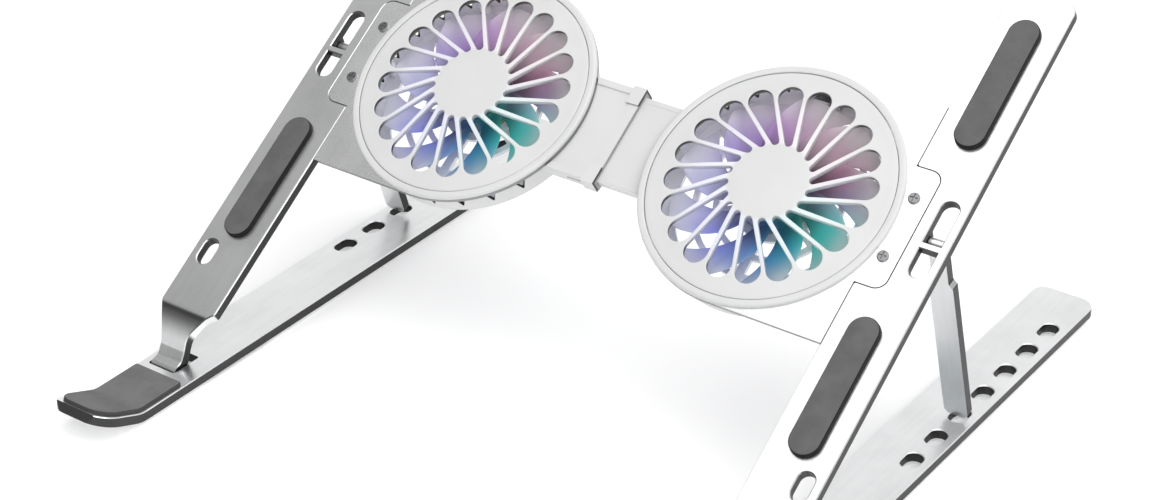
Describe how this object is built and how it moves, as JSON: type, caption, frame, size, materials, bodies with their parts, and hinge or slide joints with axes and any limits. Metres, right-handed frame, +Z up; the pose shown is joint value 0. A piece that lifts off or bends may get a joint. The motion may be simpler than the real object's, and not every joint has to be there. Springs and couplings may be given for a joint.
{
  "type": "laptop cooling pad",
  "caption": "Folding aluminium laptop stand with two sliding round fans behind swirled grilles, silicone pads, hooked base arms and props that set the height.",
  "frame": {"origin": "on the desk, at the centre of the object's plan box", "axes": "+X to the user's right, +Y to the back, +Z up"},
  "size_m": [0.2516, 0.2703, 0.139],
  "materials": {
    "aluminium": "fine blasted and anodised",
    "plate_metal": "fine blasted and anodised",
    "arm_silicone": "matt grey silicone",
    "hook_silicone": "matt grey silicone",
    "foot_silicone": "matt dark silicone",
    "white_plastic": "fine satin",
    "black_plastic": "matt",
    "rotor_plastic": "see-through tinted, with colours that change round the wheel",
    "steel": "turned",
    "bronze": "sintered",
    "iron": "laminated",
    "copper": "enamelled wire",
    "magnet": "moulded ferrite",
    "board": "white solder mask",
    "ribbon": "flat foil cable"
  },
  "bodies": {
    "left_frame": {"left_arm": "aluminium", "left_front_pad": "arm_silicone", "left_rear_pad": "arm_silicone", "left_strut_pin": "steel", "left_plate": "plate_metal", "left_plate_screws": "steel", "left_fan_rim": "white_plastic", "left_grille": "white_plastic", "left_housing": "white_plastic", "left_housing_screws": "steel", "left_lamp_ring": "board", "left_stator": "iron", "left_windings": "copper", "left_motor_board": "board", "left_bush": "bronze", "bridge_sleeve": "white_plastic", "bridge_clips": "white_plastic", "left_ribbon": "ribbon"},
    "left_wheel": {"left_rotor": "rotor_plastic", "left_shaft": "steel", "left_magnet": "magnet"},
    "left_base": {"left_base_arm": "aluminium", "left_hinge_pin": "steel", "left_hook_pad": "hook_silicone", "left_foot_pads": "foot_silicone"},
    "left_prop": {"left_strut": "aluminium"},
    "right_frame": {"right_arm": "aluminium", "right_front_pad": "arm_silicone", "right_rear_pad": "arm_silicone", "right_strut_pin": "steel", "right_plate": "plate_metal", "right_plate_screws": "steel", "right_fan_rim": "white_plastic", "right_grille": "white_plastic", "right_housing": "white_plastic", "right_housing_screws": "steel", "right_lamp_ring": "board", "right_stator": "iron", "right_windings": "copper", "right_motor_board": "board", "right_bush": "bronze", "bridge_tongue": "white_plastic", "right_ribbon": "ribbon", "power_inlet": "steel", "inlet_contacts": "black_plastic"},
    "right_wheel": {"right_rotor": "rotor_plastic", "right_shaft": "steel", "right_magnet": "magnet"},
    "right_base": {"right_base_arm": "aluminium", "right_hinge_pin": "steel", "right_hook_pad": "hook_silicone", "right_foot_pads": "foot_silicone"},
    "right_prop": {"right_strut": "aluminium"}
  },
  "joints": [
    {"name": "bridge_slide", "type": "slide", "parent": "left_frame", "child": "right_frame", "axis": [1, 0, 0], "range_m": [-0.01, 0.008]},
    {"name": "left_fold", "type": "hinge", "parent": "left_frame", "child": "left_base", "pos_m": [-0.1169, -0.08865, 0.0035], "axis": [1, 0, 0], "range_deg": [0, 26.4]},
    {"name": "left_prop_fold", "type": "hinge", "parent": "left_frame", "child": "left_prop", "pos_m": [-0.1196, 0.01598, 0.0828], "axis": [1, 0, 0], "range_deg": [0, 105.7]},
    {"name": "left_spin", "type": "hinge", "parent": "left_frame", "child": "left_wheel", "pos_m": [-0.06, 0.01252, 0.08685], "axis": [0, -0.5606, 0.8281], "continuous": true},
    {"name": "right_fold", "type": "hinge", "parent": "right_frame", "child": "right_base", "pos_m": [0.1169, -0.08865, 0.0035], "axis": [1, 0, 0], "range_deg": [0, 26.4]},
    {"name": "right_prop_fold", "type": "hinge", "parent": "right_frame", "child": "right_prop", "pos_m": [0.1196, 0.01598, 0.0828], "axis": [1, 0, 0], "range_deg": [0, 105.7]},
    {"name": "right_spin", "type": "hinge", "parent": "right_frame", "child": "right_wheel", "pos_m": [0.06, 0.01252, 0.08685], "axis": [0, -0.5606, 0.8281], "continuous": true}
  ],
  "couplings": [
    {"joint": "left_prop_fold", "follows": "left_fold", "ratio": 4},
    {"joint": "right_prop_fold", "follows": "right_fold", "ratio": 4}
  ]
}
